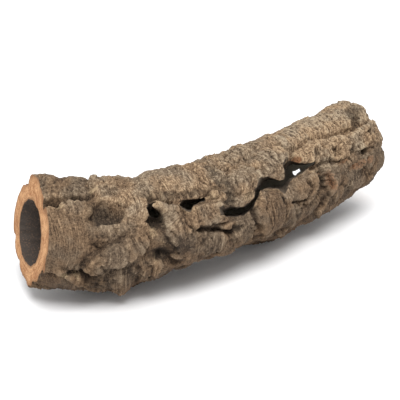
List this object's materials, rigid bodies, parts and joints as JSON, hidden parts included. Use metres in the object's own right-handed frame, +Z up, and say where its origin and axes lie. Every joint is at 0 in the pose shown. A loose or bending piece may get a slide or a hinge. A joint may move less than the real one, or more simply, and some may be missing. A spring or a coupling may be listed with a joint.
{
  "type": "cork branch",
  "caption": "Hollow cork oak branch: a gently bent tube of rough bark, split along its side, sawn at both ends, lying on its belly as a hide or display piece.",
  "frame": {"origin": "centre of the bounding box at the level that the belly rests on", "axes": "+X along the branch from its near sawn end to its far one, -Y towards the bulging side with the split, +Z up"},
  "size_m": [0.4483, 0.1597, 0.1296],
  "materials": {
    "cork_bark": "dry rough grey-brown cork bark, orange-tan where sawn, near-black inside"
  },
  "bodies": {
    "root": {"cork_branch": "cork_bark"}
  },
  "joints": []
}
